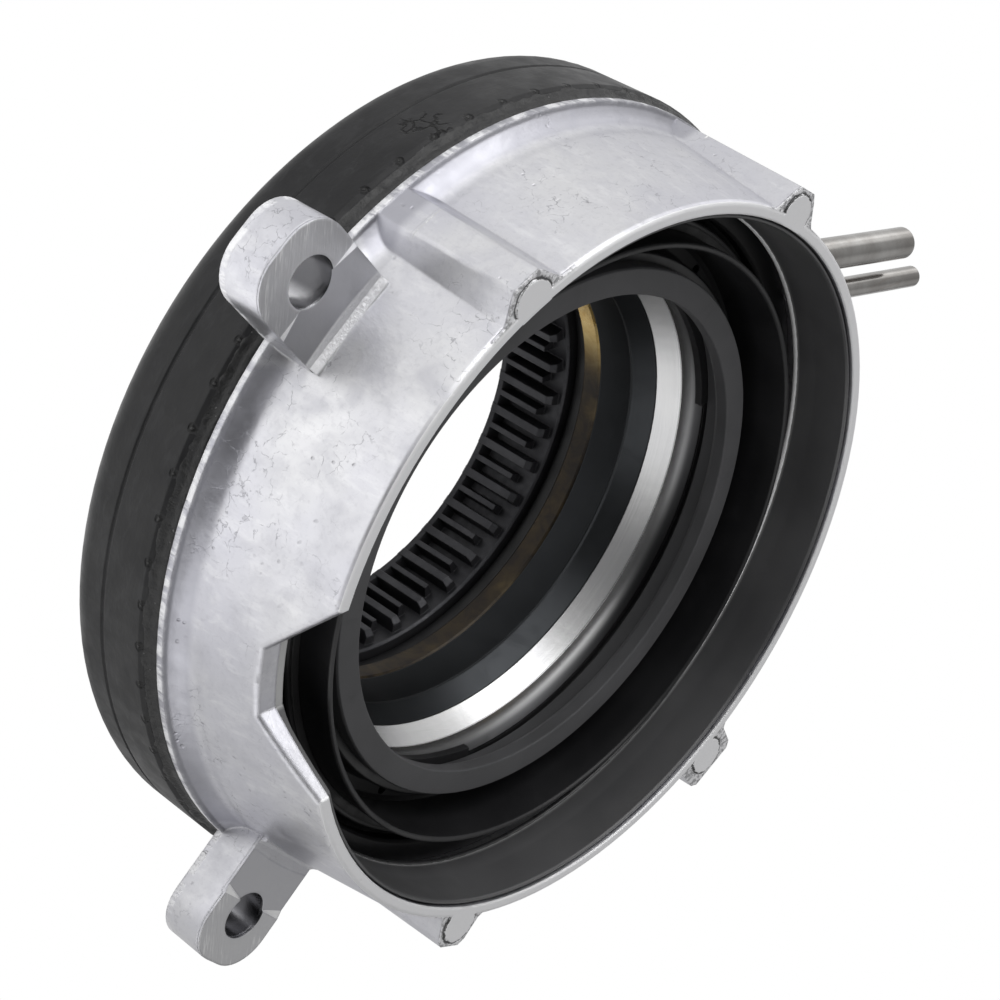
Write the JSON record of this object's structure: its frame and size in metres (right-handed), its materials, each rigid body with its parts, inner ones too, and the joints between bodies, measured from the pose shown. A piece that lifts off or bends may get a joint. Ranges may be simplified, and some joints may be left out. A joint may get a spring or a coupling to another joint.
{
  "type": "vacuum locking hub actuator",
  "caption": "Ring-shaped vacuum actuator with a cast housing, mounting ears, tube stubs, a rubber seal ring and a sliding splined clutch ring inside.",
  "frame": {"origin": "on the hub axis, in the plane of the rear neck that the part stands on", "axes": "+Z along the hub axis out of the mouth, +X through the notch in the mouth rim"},
  "size_m": [0.137, 0.118, 0.0515],
  "materials": {
    "cast_aluminium": "as cast, fine flow marks",
    "seal_rubber": "satin",
    "sealant": "rough",
    "liner_plastic": "satin to gloss",
    "carrier_plastic": "satin",
    "face_plastic": "fine matt",
    "black_steel": "black coated",
    "grey_steel": "dark, oiled",
    "bright_steel": "turned",
    "oxide_steel": "black oxide",
    "bronze": "greased",
    "spring_steel": "drawn wire"
  },
  "bodies": {
    "actuator_body": {"housing": "cast_aluminium", "mouth_liner": "liner_plastic", "clamp_ring": "black_steel", "rear_cover": "black_steel", "seal_ring": "seal_rubber", "joint_bead": "sealant", "cover_seal": "seal_rubber", "tube_large": "bright_steel", "tube_small": "bright_steel", "guide_bush": "carrier_plastic", "spring_seat": "spring_steel"},
    "carrier": {"carrier": "carrier_plastic", "front_ring": "face_plastic", "race_ring": "bright_steel", "snap_ring": "black_steel", "lip_ring": "grey_steel", "guide_ring": "grey_steel", "thrust_washer": "bronze", "spacer_ring": "carrier_plastic", "clutch_retainer": "spring_steel", "diaphragm": "seal_rubber", "diaphragm_band": "black_steel", "piston_seal": "seal_rubber", "return_spring": "spring_steel"},
    "clutch": {"clutch_ring": "oxide_steel"}
  },
  "joints": [
    {"name": "carrier_slide", "type": "slide", "parent": "actuator_body", "child": "carrier", "axis": [0, 0, 1], "range_m": [0, 0.0045], "stiffness_N_per_m": 2500, "springref_m": -0.012, "deforming": ["return_spring", "diaphragm"]},
    {"name": "clutch_spin", "type": "hinge", "parent": "carrier", "child": "clutch", "pos_m": [0, 0, 0.006], "axis": [0, 0, 1], "continuous": true}
  ]
}
